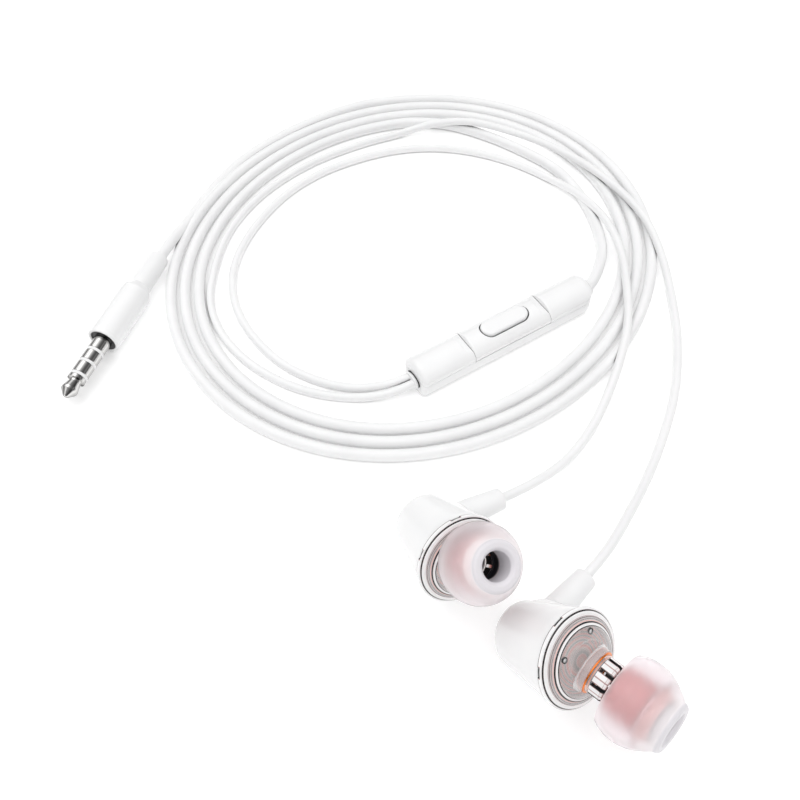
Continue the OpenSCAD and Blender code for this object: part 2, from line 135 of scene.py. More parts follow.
# The cords' routes, in metres, and the main cord's coil, in millimetres.
PLUG_END_ROUTE = [
    (-0.0704, 0.0786, 0.0032), (-0.0685, 0.0845, 0.0028), (-0.0668, 0.090, 0.0017),
    (-0.0648, 0.096, 0.00115), (-0.061, 0.1045, 0.00115), (-0.0555, 0.113, 0.00115),
    (-0.048, 0.1205, 0.00115), (-0.038, 0.1278, 0.00115), (-0.028, 0.1325, 0.00115),
]
REMOTE_END_ROUTE = [
    (-0.009, 0.1248, 0.00115), (0, 0.121, 0.00115), (0.009, 0.115, 0.00115),
    (0.016, 0.1085, 0.00115), (0.0205, 0.100, 0.00115), (0.0228, 0.091, 0.00115),
    (0.023, 0.083, 0.0015), (0.0212, 0.0765, 0.0023), (0.0194, 0.0726, 0.0028),
    (0.018, 0.0707, 0.003),
]
LEAD_LEFT_ROUTE = [
    (-0.0181, 0.0488, 0.0024), (-0.0235, 0.0474, 0.0014), (-0.030, 0.0474, 0.00085),
    (-0.037, 0.0495, 0.00085), (-0.044, 0.054, 0.00085), (-0.050, 0.061, 0.00085),
    (-0.0535, 0.068, 0.00085), (-0.055, 0.076, 0.00085), (-0.054, 0.084, 0.00085),
    (-0.0505, 0.093, 0.00085), (-0.045, 0.1015, 0.00085), (-0.038, 0.108, 0.00085),
    (-0.030, 0.1126, 0.00085), (-0.021, 0.1158, 0.00085), (-0.012, 0.1167, 0.00085),
    (-0.003, 0.1153, 0.00085), (0.006, 0.1116, 0.00085), (0.014, 0.1059, 0.0011),
    (0.0202, 0.0988, 0.0024), (0.0246, 0.090, 0.0032), (0.0264, 0.081, 0.0033),
    (0.0263, 0.072, 0.0033), (0.0252, 0.062, 0.0033), (0.0226, 0.053, 0.0025),
    (0.0192, 0.045, 0.001), (0.0148, 0.037, 0.00085), (0.0095, 0.0304, 0.0013),
    (0.0035, 0.0252, 0.003), (-0.0032, 0.0212, 0.0039),
]
LEAD_RIGHT_ROUTE = [
    (-0.0171, 0.0473, 0.0024), (-0.0225, 0.0454, 0.0014), (-0.029, 0.045, 0.00085),
    (-0.036, 0.046, 0.00085), (-0.043, 0.0488, 0.00085), (-0.050, 0.0538, 0.00085),
    (-0.0555, 0.0605, 0.00085), (-0.0586, 0.068, 0.00085), (-0.0591, 0.077, 0.00085),
    (-0.0574, 0.088, 0.00085), (-0.0535, 0.097, 0.00085), (-0.0475, 0.105, 0.00085),
    (-0.0395, 0.112, 0.00085), (-0.030, 0.1176, 0.00085), (-0.020, 0.1216, 0.0011),
    (-0.0115, 0.1234, 0.0026), (-0.003, 0.123, 0.0033), (0.006, 0.1196, 0.0033),
    (0.0145, 0.1146, 0.0033), (0.022, 0.1082, 0.0033), (0.0285, 0.0998, 0.0033),
    (0.033, 0.0905, 0.0033), (0.035, 0.081, 0.0026), (0.0358, 0.071, 0.0011),
    (0.0352, 0.060, 0.00085), (0.0326, 0.047, 0.00085), (0.0286, 0.0365, 0.00085),
    (0.0242, 0.0275, 0.0016), (0.019, 0.0186, 0.0038), (0.0142, 0.0113, 0.0054),
    (0.0096, 0.006, 0.0056),
]
COIL_PLACE = (-17.5, 82.5)
COIL_TURNS = 3
COIL_R = 51.8
COIL_PITCH = 2.9        # how much smaller each turn is
COIL_STRETCH = 2.8      # how far the turns swing in and out
COIL_STEPS = 36         # points in each turn


# ---------------------------------------------------------------- placing


def turn(axis, degrees):
    return Matrix.Rotation(math.radians(degrees), 4, axis)


def shift(x, y, z):
    return Matrix.Translation((x, y, z))


def bud_frame(bud):
    azimuth, elevation, roll = bud["turn"]
    return shift(*bud["place"]) @ turn("Z", azimuth) @ turn("Y", 90 - elevation) @ turn("Z", roll)


def nozzle_frame(bud):
    sideways, forward = NOZZLE_ROOT
    lean = turn("X", -bud["side"] * TILT)
    return bud_frame(bud) @ shift(0, bud["side"] * sideways, forward) @ lean


REMOTE = shift(*REMOTE_PLACE) @ turn("Z", REMOTE_TURN)
PLUG = shift(*PLUG_PLACE) @ turn("Z", PLUG_TURN) @ turn("Y", 90)


# ---------------------------------------------------------------- meshes


def rounded(points, steps=5):
    """An outline of (r, z) or (r, z, radius) points, with each given corner turned into an arc.

    Each point comes back as (r, z, crease), where crease is 1 on the arcs.
    """
    result = []
    for i, point in enumerate(points):
        here = Vector(point[:2])
        if len(point) == 2:
            result.append((here.x, here.y, 0.0))
            continue
        to_last = (Vector(points[i - 1][:2]) - here)
        to_next = (Vector(points[(i + 1) % len(points)][:2]) - here)
        half = to_last.angle(to_next) / 2
        reach = min(point[2] / math.tan(half), 0.49 * to_last.length, 0.49 * to_next.length)
        first = here + to_last.normalized() * reach
        last = here + to_next.normalized() * reach
        flank = 0.25 * reach
        result.append((*(first + to_last.normalized() * flank), 0.0))
        for k in range(steps + 1):
            t = k / steps
            spot = first * (1 - t) ** 2 + here * 2 * t * (1 - t) + last * t ** 2
            result.append((spot.x, spot.y, 1.0))
        result.append((*(last + to_next.normalized() * flank), 0.0))
    return result


def lathe(outline, sides=96, ring=False, bend=None):
    """Spins an outline of (r, z, crease) about Z. ring joins its last point to its first.

    bend(x, y, z) may move a vertex.
    """
    verts, faces, creases, index = [], [], [], []
    for r, z, crease in outline:
        if r < 1e-6:
            index.append([len(verts)] * sides)
            verts.append((0, 0, z))
            creases.append(crease)
            continue
        row = []
        for k in range(sides):
            angle = 2 * math.pi * k / sides
            spot = (r * math.cos(angle), r * math.sin(angle), z)
            row.append(len(verts))
            verts.append(bend(*spot) if bend else spot)
            creases.append(crease)
        index.append(row)
    rows = len(index)
    for i in range(rows if ring else rows - 1):
        low, high = index[i], index[(i + 1) % rows]
        for k in range(sides):
            n = (k + 1) % sides
            face = [low[k], low[n], high[n], high[k]]
            face = [v for j, v in enumerate(face) if v != face[j - 1]]
            if len(set(face)) >= 3:
                faces.append(face)
    return verts, faces, creases


def joined(*shapes):
    verts, faces, creases = [], [], []
    for v, f, c in shapes:
        faces += [[i + len(verts) for i in face] for face in f]
        verts += v
        creases += c
    return verts, faces, creases


def moved(shape, matrix):
    verts, faces, creases = shape
    return [tuple(matrix @ Vector(v)) for v in verts], faces, creases


def plain(verts, faces):
    return verts, faces, [0.0] * len(verts)


def prism(plan, low, high):
    """A solid between two heights over a closed plan of (x, y) points."""
    count = len(plan)
    verts = [(x, y, low) for x, y in plan] + [(x, y, high) for x, y in plan]
    faces = [list(range(count - 1, -1, -1)), list(range(count, 2 * count))]
    faces += [[i, (i + 1) % count, count + (i + 1) % count, count + i] for i in range(count)]
    return plain(verts, faces)


def make(name, shape, matrix, material, body, replaces=(), sharp=35):
    """A finished piece: a mesh in metres, smooth but for its sharp edges, riding on a body."""
    verts, faces, creases = shape
    mesh = bpy.data.meshes.new(name)
    mesh.from_pydata([tuple((matrix @ Vector(v)) * MM) for v in verts], [], faces)
    attribute = mesh.attributes.new("crease", "FLOAT", "POINT")
    attribute.data.foreach_set("value", creases)
    mesh.validate()
    piece = bpy.data.objects.new(name, mesh)
    bpy.context.scene.collection.objects.link(piece)
    tidy_normals(piece)
    mesh.shade_smooth()
    mesh.set_sharp_from_angle(angle=math.radians(sharp))
    mesh.materials.append(material)
    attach(piece, body)
    if replaces:
        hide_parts(*replaces)
        slot_of(replaces[0])
    return piece


def tidy_normals(piece):
    """Turns every face of a closed piece outwards."""
    work = bmesh.new()
    work.from_mesh(piece.data)
    bmesh.ops.recalc_face_normals(work, faces=work.faces)
    work.to_mesh(piece.data)
    work.free()


def slot_of(node):
    return next(s["material_slot"] for s in frame["record"]["subparts"] if s["node"] == node)


def solid(name, shape):
    """A scratch object in millimetres for cutting shapes with."""
    mesh = bpy.data.meshes.new(name)
    mesh.from_pydata(shape[0], [], shape[1])
    mesh.validate()
    piece = bpy.data.objects.new(name, mesh)
    bpy.context.scene.collection.objects.link(piece)
    tidy_normals(piece)
    return piece


def cut(shape, cutters, bevel=0.0, bevel_angle=30):
    """shape less the cutters, with its edges bevelled."""
    base = solid("scratch", shape)
    tools = [solid("scratch_tool", c) for c in cutters]
    for tool in tools:
        step = base.modifiers.new("cut", "BOOLEAN")
        step.operation = "DIFFERENCE"
        step.solver = "EXACT"
        step.object = tool
    if bevel:
        step = base.modifiers.new("bevel", "BEVEL")
        step.width = bevel
        step.segments = 3
        step.limit_method = "ANGLE"
        step.angle_limit = math.radians(bevel_angle)
        step.use_clamp_overlap = True
    depsgraph = bpy.context.evaluated_depsgraph_get()
    done = base.evaluated_get(depsgraph).to_mesh()
    verts = [tuple(v.co) for v in done.vertices]
    faces = [list(p.vertices) for p in done.polygons]
    base.evaluated_get(depsgraph).to_mesh_clear()
    for piece in [base] + tools:
        mesh = piece.data
        bpy.data.objects.remove(piece)
        bpy.data.meshes.remove(mesh)
    return plain(verts, faces)


# ---------------------------------------------------------------- materials


def new_material(name, base, rough, metallic=0.0):
    """A material, its node tree and its main shader."""
    material = bpy.data.materials.new(name)
    material.use_nodes = True
    tree = material.node_tree
    shader = tree.nodes["Principled BSDF"]
    shader.inputs["Base Color"].default_value = (*base, 1)
    shader.inputs["Roughness"].default_value = rough
    shader.inputs["Metallic"].default_value = metallic
    return material, tree, shader


def noise(tree, scale, detail=3.0):
    """Noise over the object's own coordinates; scale is in features per metre."""
    place = tree.nodes.new("ShaderNodeTexCoord")
    texture = tree.nodes.new("ShaderNodeTexNoise")
    texture.inputs["Scale"].default_value = scale
    texture.inputs["Detail"].default_value = detail
    tree.links.new(place.outputs["Object"], texture.inputs["Vector"])
    return texture.outputs["Fac"]


def ramp(tree, value, stops):
    """A colour ramp with (position, grey or colour) stops."""
    node = tree.nodes.new("ShaderNodeValToRGB")
    elements = node.color_ramp.elements
    while len(elements) < len(stops):
        elements.new(0.5)
    for element, (position, colour) in zip(elements, stops):
        element.position = position
        colour = (colour,) * 3 if isinstance(colour, (int, float)) else colour
        element.color = (*colour, 1)
    tree.links.new(value, node.inputs["Fac"])
    return node.outputs["Color"]


def spread(tree, value, low, high):
    """A 0 to 1 value stretched to run from low to high."""
    node = tree.nodes.new("ShaderNodeMapRange")
    node.inputs["To Min"].default_value = low
    node.inputs["To Max"].default_value = high
    tree.links.new(value, node.inputs["Value"])
    return node.outputs["Result"]


def bump(tree, shader, height, strength, distance):
    node = tree.nodes.new("ShaderNodeBump")
    node.inputs["Strength"].default_value = strength
    node.inputs["Distance"].default_value = distance
    tree.links.new(height, node.inputs["Height"])
    tree.links.new(node.outputs["Normal"], shader.inputs["Normal"])


def crease_value(tree):
    """Each point's tone, which the mesh carries as its crease."""
    node = tree.nodes.new("ShaderNodeAttribute")
    node.attribute_name = "crease"
    return node.outputs["Fac"]


def painted_crevice_shade(tree, colour, reach):
    """Painted shade: darkens a colour by ambient occlusion in crevices narrower than about reach
    metres.
    """
    closeness = tree.nodes.new("ShaderNodeAmbientOcclusion")
    closeness.samples = 8
    closeness.inputs["Distance"].default_value = reach
    mix = tree.nodes.new("ShaderNodeMix")
    mix.data_type = "RGBA"
    mix.blend_type = "MULTIPLY"
    mix.inputs["Factor"].default_value = 1.0
    tree.links.new(colour, mix.inputs["A"])
    shade = ramp(tree, closeness.outputs["AO"], [
        (0.12, 0.06), (0.3, 0.5), (0.42, 0.92), (0.52, 1.0)])
    tree.links.new(shade, mix.inputs["B"])
    return mix.outputs["Result"]


def moulded(name, low, high, rough, grain=900, grain_depth=0.02,
            coat=0.0, soft=0.0, glow=0.0, crevice=0.0):
    """Moulded plastic or elastomer: slight flow marks, uneven gloss and a fine grain.

    crevice is the width in metres of the gaps whose colour is darkened as painted shade; glow is
    the strength of a painted glow.
    """
    material, tree, shader = new_material(name, high, rough)
    flow = noise(tree, 120, 2)
    colour = ramp(tree, flow, [(0.3, low), (0.7, high)])
    if crevice:
        # painted shade in the crevices
        colour = painted_crevice_shade(tree, colour, crevice)
    tree.links.new(colour, shader.inputs["Base Color"])
    wear = noise(tree, 700, 4)
    tree.links.new(spread(tree, wear, rough * 0.8, rough * 1.25), shader.inputs["Roughness"])
    bump(tree, shader, noise(tree, grain, 5), grain_depth, 0.0002)
    shader.inputs["Coat Weight"].default_value = coat
    shader.inputs["Coat Roughness"].default_value = 0.06
    if soft:
        shader.inputs["Subsurface Weight"].default_value = soft
        shader.inputs["Subsurface Radius"].default_value = (1, 0.9, 0.85)
        shader.inputs["Subsurface Scale"].default_value = 0.0008
    shader.inputs["Emission Color"].default_value = (*high, 1)
    shader.inputs["Emission Strength"].default_value = glow
    return material


def metal(name, base, rough, scale=2500):
    """Worn metal: fine scratches in its gloss."""
    material, tree, shader = new_material(name, base, rough, 1.0)
    marks = noise(tree, scale, 6)
    tree.links.new(spread(tree, marks, rough * 0.6, rough * 1.5), shader.inputs["Roughness"])
    stained = tuple(0.88 * c for c in base)
    colour = ramp(tree, noise(tree, 300, 3), [(0.35, stained), (0.65, base)])
    tree.links.new(colour, shader.inputs["Base Color"])
    bump(tree, shader, marks, 0.06, 0.0001)
    return material


def painted_reflection_metal(name, base):
    """Turned metal with painted reflections: a studio's dark and bright streaks along it, by each
    point's tone.
    """
    material, tree, shader = new_material(name, base, 0.1, 1.0)
    dark, middle = (tuple(part * c for c in base) for part in (0.1, 0.4))
    colour = ramp(tree, crease_value(tree), [(0.0, dark), (0.45, middle), (1.0, base)])
    tree.links.new(colour, shader.inputs["Base Color"])
    marks = noise(tree, 2500, 6)
    tree.links.new(spread(tree, marks, 0.08, 0.16), shader.inputs["Roughness"])
    bump(tree, shader, marks, 0.06, 0.0001)
    return material


def toned(tree, shader, tone, colours, clearness, glow=0.0):
    """Colour and clearness by each point's tone, with a faint painted glow in that colour."""
    colour = ramp(tree, tone, colours)
    tree.links.new(colour, shader.inputs["Base Color"])
    tree.links.new(ramp(tree, tone, clearness), shader.inputs["Transmission Weight"])
    tree.links.new(colour, shader.inputs["Emission Color"])
    shader.inputs["Emission Strength"].default_value = glow


def clear_plastic():
    """Clear moulding: frosted bands at tone 0.25, painted rosy and dark reflection lines at 0.5 and
    1, and a faint painted glow.
    """
    material, tree, shader = new_material("clear_plastic", (0.93, 0.94, 0.95), 0.05)
    toned(tree, shader, crease_value(tree), [
        (0.0, (0.97, 0.97, 0.975)), (0.3, (0.95, 0.95, 0.955)), (0.5, (0.82, 0.5, 0.46)),
        (0.65, (0.42, 0.36, 0.36)), (1.0, (0.02, 0.02, 0.022)),
    ], [(0.0, 0.93), (0.12, 0.6), (0.25, 0.15), (1.0, 0.0)], 0.08)
    tree.links.new(spread(tree, noise(tree, 500, 3), 0.02, 0.07), shader.inputs["Roughness"])
    shader.inputs["IOR"].default_value = 1.32
    shader.inputs["Coat Weight"].default_value = 0.4
    return material


def silicone():
    """Milky silicone: clear at tone 0, cloudy at 0.1, lilac at 0.2, rosy at 0.35 and dark painted
    shade at 1; it has a faint painted glow.
    """
    material, tree, shader = new_material("silicone", (0.93, 0.9, 0.92), 0.3)
    toned(tree, shader, crease_value(tree), [
        (0.0, (0.95, 0.91, 0.925)), (0.1, (0.93, 0.89, 0.905)), (0.2, (0.76, 0.735, 0.765)),
        (0.28, (0.72, 0.7, 0.73)), (0.35, (0.84, 0.57, 0.55)), (0.5, (0.45, 0.43, 0.45)),
        (1.0, (0.02, 0.02, 0.024)),
    ], [(0.0, 0.95), (0.05, 0.78), (0.1, 0.22), (0.2, 0.0), (1.0, 0.0)], 0.03)
    tree.links.new(spread(tree, noise(tree, 400, 3), 0.5, 0.58), shader.inputs["Roughness"])
    shader.inputs["IOR"].default_value = 1.2
    shader.inputs["Coat Weight"].default_value = 0.35
    shader.inputs["Coat Roughness"].default_value = 0.22
    bump(tree, shader, noise(tree, 1500, 4), 0.02, 0.0002)
    return material


def ringed_film():
    """Thin rosy film whose pressed rings go from rose at tone 0 to grey at 1, with a faint painted
    glow.
    """
    material, tree, shader = new_material("diaphragm_film", (0.75, 0.45, 0.4), 0.25)
    toned(tree, shader, crease_value(tree), [
        (0.0, (0.66, 0.22, 0.18)), (0.5, (0.62, 0.46, 0.43)), (1.0, (0.24, 0.23, 0.23)),
    ], [(0.0, 0.0), (1.0, 0.0)], 0.06)
    shader.inputs["Coat Weight"].default_value = 0.5
    bump(tree, shader, noise(tree, 900, 3), 0.03, 0.0002)
    return material


def woven(name, base):
    """A fine woven wire mesh."""
    material, tree, shader = new_material(name, base, 0.4, 1.0)
    place = tree.nodes.new("ShaderNodeTexCoord")
    weave = tree.nodes.new("ShaderNodeTexBrick")
    weave.inputs["Scale"].default_value = 4000
    weave.inputs["Mortar Size"].default_value = 0.06
    weave.inputs["Color1"].default_value = (*base, 1)
    weave.inputs["Color2"].default_value = (*[0.7 * c for c in base], 1)
    weave.inputs["Mortar"].default_value = (0.01, 0.01, 0.01, 1)
    tree.links.new(place.outputs["Object"], weave.inputs["Vector"])
    tree.links.new(weave.outputs["Color"], shader.inputs["Base Color"])
    bump(tree, shader, weave.outputs["Fac"], 0.5, 0.0001)
    return material


# The white gloss and the cord jacket have painted shade darkening their crevices.
WHITE = moulded("white_gloss", (0.87, 0.87, 0.875), (0.9, 0.9, 0.902), 0.2,
                coat=0.3, crevice=0.0006)
SOFT = moulded("white_soft", (0.86, 0.86, 0.865), (0.89, 0.89, 0.892), 0.42, 2500, 0.05)
JACKET = moulded("cord_jacket", (0.86, 0.86, 0.865), (0.89, 0.89, 0.892), 0.36, 2500, 0.05,
                 coat=0.1, crevice=0.0008)
DARK = moulded("dark_plastic", (0.02, 0.02, 0.022), (0.035, 0.035, 0.038), 0.35)
BOARD = moulded("circuit_board", (0.01, 0.09, 0.03), (0.02, 0.14, 0.05), 0.35)
# The pink core has a painted glow.
PINK = moulded("pink_core", (0.6, 0.17, 0.155), (0.68, 0.22, 0.2), 0.4, soft=0.5, glow=0.1)
FILM = ringed_film()
NICKEL = painted_reflection_metal("nickel", (0.85, 0.84, 0.83))
STEEL = metal("steel", (0.5, 0.5, 0.51), 0.3)
COPPER = metal("copper", (0.86, 0.24, 0.05), 0.28)
CLEAR = clear_plastic()
SILICONE = silicone()
# The wire mesh is coloured dark as painted shade deep in the nozzle.
WIRE_MESH = woven("wire_mesh", (0.3, 0.22, 0.2))

SLOT_LOOKS = {
    "white_gloss": WHITE, "white_soft": SOFT, "clear_shell": CLEAR, "silicone": SILICONE,
    "pink_core": PINK, "dark_plastic": DARK, "steel": STEEL, "nickel": NICKEL,
    "copper": COPPER, "film": FILM, "board": BOARD, "cord": JACKET,
}
NODE_LOOKS = {"left_driver_frame": SOFT, "right_driver_frame": SOFT}
for node, part in frame["nodes"].items():
    part.data.materials.clear()
    part.data.materials.append(NODE_LOOKS.get(node, SLOT_LOOKS[slot_of(node)]))

# ---------------------------------------------------------------- cords


def smooth_route(points, step=0.0008):
    """A smooth path through the points, as a chain of points about a step apart."""
    points = [Vector(p) for p in points]
    ends = [2 * points[0] - points[1], 2 * points[-1] - points[-2]]
    full = [ends[0]] + points + [ends[1]]
    path = []
    for a, b, c, d in zip(full, full[1:], full[2:], full[3:]):
        length = (c - b).length
        enter = (c - a).normalized() * length / 3
        leave = (d - b).normalized() * length / 3
        count = max(2, int(length / step))
        path += interpolate_bezier(b, b + enter, c - leave, c, count + 1)[:-1]
    return path + [points[-1]]


def coil_points():
    points = []
    count = COIL_TURNS * COIL_STEPS
    for i in range(count + 1):
        t = i / COIL_STEPS
        angle = math.radians(90 - 360 * t)
        radius = COIL_R - COIL_PITCH * t + COIL_STRETCH * math.sin(math.radians(180 - 720 * t))
        points.append((
            (COIL_PLACE[0] + radius * math.cos(angle)) * MM,
            (COIL_PLACE[1] + radius * math.sin(angle)) * MM,
            MAIN_D / 2 * MM,
        ))
    return points


def make_cord(name, route, diameter, replaces):
    path = smooth_route(route)
    data = bpy.data.curves.new(name, "CURVE")
    data.dimensions = "3D"
    data.bevel_depth = diameter / 2 * MM
    data.bevel_resolution = 6
    data.use_fill_caps = True
    spline = data.splines.new("POLY")
    spline.points.add(len(path) - 1)
    for point, place in zip(spline.points, path):
        point.co = (*place, 1)
    spline.use_smooth = True
    data.materials.append(JACKET)
    cord = bpy.data.objects.new(name, data)
    bpy.context.scene.collection.objects.link(cord)
    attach(cord, "earphones")
    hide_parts(*replaces)
    length = sum((b - a).length for a, b in zip(path, path[1:]))
    return cord, length


main_route = PLUG_END_ROUTE + coil_points() + REMOTE_END_ROUTE
main_cord, main_length = make_cord(
    "main_cord", main_route[::-1], MAIN_D, ["cord_plug_end", "cord_coil", "cord_remote_end"])
lead_left, lead_left_length = make_cord(
    "left_lead", LEAD_LEFT_ROUTE[::-1], LEAD_D, ["cord_lead_left"])
lead_right, lead_right_length = make_cord(
    "right_lead", LEAD_RIGHT_ROUTE[::-1], LEAD_D, ["cord_lead_right"])


# ---------------------------------------------------------------- ear pieces


HOUSING_MESH = 0.35     # the longest step along the housing's outline, fine enough for the boss
SMOOTH = 160            # sides on the large round pieces


def housing_bump(side_reach=2.75, height=0.85):
    """Swells the housing round the cable outlet into a soft boss."""
    def bend(x, y, z):
        off = math.hypot(y, z + OUTLET_BACK)
        r = math.hypot(x, y)
        if x < 0 or off > 2 * side_reach or r < 3:
            return (x, y, z)
        t = min(1, max(0, (1.45 * side_reach - off) / (0.5 * side_reach)))
        lift = height * t * t * (3 - 2 * t)
        return (x + lift, y, z)
    return bend


def make_housing(side, frame_matrix):
    outer = rounded([
        (0, -HOUSING_LEN), (2, -HOUSING_LEN + 0.05, 3), (BACK_R - 0.4, -HOUSING_LEN + 0.9, 4.2),
        (HOUSING_R - 0.02, -1.2, 8),
        (HOUSING_R, -0.3, 0.12), (HOUSING_R - WALL, -0.3, 0.12),
        (HOUSING_R - WALL, -2, 0.3), (BACK_R - WALL, -HOUSING_LEN + 1.2, 2.2),
        (0, -HOUSING_LEN + WALL),
    ], 12)
    fine = []
    for (r0, z0, _), (r1, z1, _) in zip(outer, outer[1:]):
        steps = max(1, int(math.hypot(r1 - r0, z1 - z0) / HOUSING_MESH))
        for k in range(steps):
            fine.append((r0 + (r1 - r0) * k / steps, z0 + (z1 - z0) * k / steps, 0.0))
    fine.append((*outer[-1][:2], 0.0))
    shape = lathe(fine, SMOOTH, bend=housing_bump())
    make(side + "_rear_housing_skin", shape, frame_matrix, WHITE, "earphones",
         [side + "_rear_housing"], 50)


def make_relief(side, frame_matrix):
    outline = rounded([
        (0, 4), (2.4, 4), (2.4, 6.3), (1.92, RELIEF_REACH, 0.4),
        (LEAD_D / 2 + 0.08, RELIEF_REACH, 0.1), (LEAD_D / 2 + 0.02, RELIEF_REACH - 0.8),
        (0, RELIEF_REACH - 0.8),
    ])
    place = frame_matrix @ shift(0, 0, -OUTLET_BACK) @ turn("Y", 90)
    make(side + "_relief_sleeve", lathe(outline, 64), place, SOFT, "earphones",
         [side + "_strain_relief"], 40)


NOTCHES = 6
NOTCH_SPAN = 4.6        # half of a notch's width round the rim, in degrees
NOTCH_TOP = 0.42
NOTCH_R = 7.3           # the notches are cut into what lies further out than this
NOTCH_FLOOR_R = 7.32
NOTCH_LINE = 1.7        # the width of the painted dark line round a notch, in degrees


def off_notch(x, y):
    """Degrees round the rim from the middle of the nearest clip notch."""
    between = 360 / NOTCHES
    angle = (math.degrees(math.atan2(y, x)) - between / 2) % between
    return min(angle, between - angle)


def notch(x, y, z):
    """Cuts the clip notches into the back of the clear rim."""
    r = math.hypot(x, y)
    if r < NOTCH_R or z > NOTCH_TOP or off_notch(x, y) > NOTCH_SPAN:
        return (x, y, z)
    return (x * NOTCH_FLOOR_R / r, y * NOTCH_FLOOR_R / r, z)


def painted_notch_lines(shape):
    """Paints a dark reflection line round each notch."""
    verts, faces, tones = shape

    def on_edge(x, y, z):
        beside = abs(off_notch(x, y) - NOTCH_SPAN) < NOTCH_LINE
        return beside and math.hypot(x, y) > NOTCH_R and z < NOTCH_TOP + 0.1

    return verts, faces, [1.0 if on_edge(*v) else tone for v, tone in zip(verts, tones)]


FROSTED = 0.25          # the tone of cloudy white bands in the clear plastic


def make_front_shell(side, bud, frame_matrix, nozzle):
    steps = rounded([
        (5.6, -1.3, 0.1), (6.5, -1.3, 0.1), (6.5, 0, 0.1), (RIM_R, 0, 0.14), (RIM_R, 0.62, 0.12),
        (7.28, 0.7, 0.22), (7.22, 0.98, 0.14), (6.86, 1.04, 0.12), (6.62, 1.1, 0.1),
        (6.56, 1.3, 0.1), (6.33, 1.33, 0.05), (6.29, 1.42, 0.06), (6.02, 1.46, 0.12),
        (5.94, 1.74, 0.25), (5.5, 1.78, 0.1),
        (5.42, 1.98, 0.2), (5.1, 2.12, 0.12), (3.6, 2.56, 0.3), (0, 2.72),
        (0, 1.7), (3.1, 1.6, 0.1), (4.6, 1.1, 0.3), (5.6, 0.9, 0.1),
    ], 4)
    lines = {       # the tone of each corner's line, by the corner's radius; tones of 0.5 and up are painted reflection lines
        7.7: 1.0, 7.28: 1.0, 7.22: 0.3, 6.86: 0.5, 6.62: 0.65, 6.56: 0.9, 6.33: 0.7, 6.29: 0.9,
        6.02: 0.52, 5.94: 1.0, 5.5: 0.25, 5.42: 1.0, 5.1: 0.6, 3.6: 0.1,
    }
    toned_steps = []
    for r, z, crease in steps:
        tone = FROSTED if r > 6.65 or 5.42 < r < 5.94 else (0.12 if r > 5.9 else 0.0)
        if crease and z > -0.5:
            near = min(lines, key=lambda corner: abs(corner - r))
            tone = lines[near] if z < 0.4 or near != 7.7 else FROSTED
        toned_steps.append((r, z, tone))
    shell = painted_notch_lines(lathe(toned_steps, 240, False, notch))
    neck = lathe(rounded([
        (3.9, -1.2), (3.62, -0.35, 0.2), (3.5, -0.05, 0.1), (BORE_R, -0.05, 0.1), (BORE_R, -1.2),
    ]), 64, True)
    neck = (neck[0], neck[1], [0.62 * c if math.hypot(*v[:2]) > BORE_R + 0.05 else 0.62
                               for v, c in zip(neck[0], neck[2])])
    to_bud = frame_matrix.inverted() @ nozzle
    shape = joined(shell, moved(neck, to_bud))
    make(side + "_clear_front", shape, frame_matrix, CLEAR, "earphones",
         [side + "_front_shell"], 30)
    for i, s in enumerate((-1, 1)):
        # Each vent's rim is painted dark as shade round its pale pit.
        rim = lathe([
            (0.3, 2.05, 1), (0.5, 2.05, 1), (0.5, 2.38, 1), (0.42, 2.42, 1), (0.34, 2.38, 1),
            (0.3, 2.2, 1)], 24, True)
        pit = lathe([(0, 2.2, 0.3), (0.3, 2.2, 0.3), (0.3, 2.0, 0.3), (0, 2.0, 0.3)], 24)
        place = frame_matrix @ shift(s * 3, -bud["side"] * 3.6, -0.12)
        make(f"{side}_vent_{i + 1}", joined(rim, pit), place, CLEAR, "earphones")


def circle(radius, count, cx=0.0, cy=0.0):
    return [(cx + radius * math.cos(2 * math.pi * k / count),
             cy + radius * math.sin(2 * math.pi * k / count)) for k in range(count)]


def make_crown(side, nozzle):
    """The slotted crown: a ring and eight fingers with a small barb on each; the fingers' sides and
    bore faces are painted dark as shade.
    """
    shapes = [lathe(rounded([
        (BORE_R, 0), (CROWN_R, 0), (CROWN_R, 0.8, 0.05), (BORE_R, 0.8, 0.05)]), 96, True)]
    profile = rounded([
        (BORE_R, 0.75), (CROWN_R - 0.02, 0.75), (CROWN_R - 0.04, 2.3), (CROWN_R + 0.0, 2.55, 0.08),
        (CROWN_R - 0.2, CROWN_LEN, 0.12), (BORE_R + 0.12, CROWN_LEN, 0.1), (BORE_R, 2.7)], 3)
    fingers = 8
    half_gap = 5.5
    steps = 12
    for i in range(fingers):
        start = i * 360 / fingers + 10 + half_gap
        sweep = 360 / fingers - 2 * half_gap
        verts, faces, creases = [], [], []
        for k in range(steps + 1):
            angle = math.radians(start + sweep * k / steps)
            # painted shade at each finger's sides and a painted reflection line down its middle
            edge = 1.0 if k in (0, steps) else (0.8 if k == steps // 2 else FROSTED)
            for r, z, crease in profile:
                verts.append((r * math.cos(angle), r * math.sin(angle), z))
                # the faces towards the bore are painted dark as shade, and the rounded corners get
                # painted reflection lines
                creases.append(1.0 if r < BORE_R + 0.05 else max(edge, 0.6 * crease))
        n = len(profile)
        for k in range(steps):
            for j in range(n):
                a, b = k * n + j, k * n + (j + 1) % n
                faces.append([a, b, b + n, a + n])
        faces += [list(range(n)), list(range(steps * n, steps * n + n))[::-1]]
        shapes.append((verts, faces, creases))
    make(side + "_crown_fingers", joined(*shapes), nozzle, CLEAR, "earphones",
         [side + "_nozzle_crown"], 25)


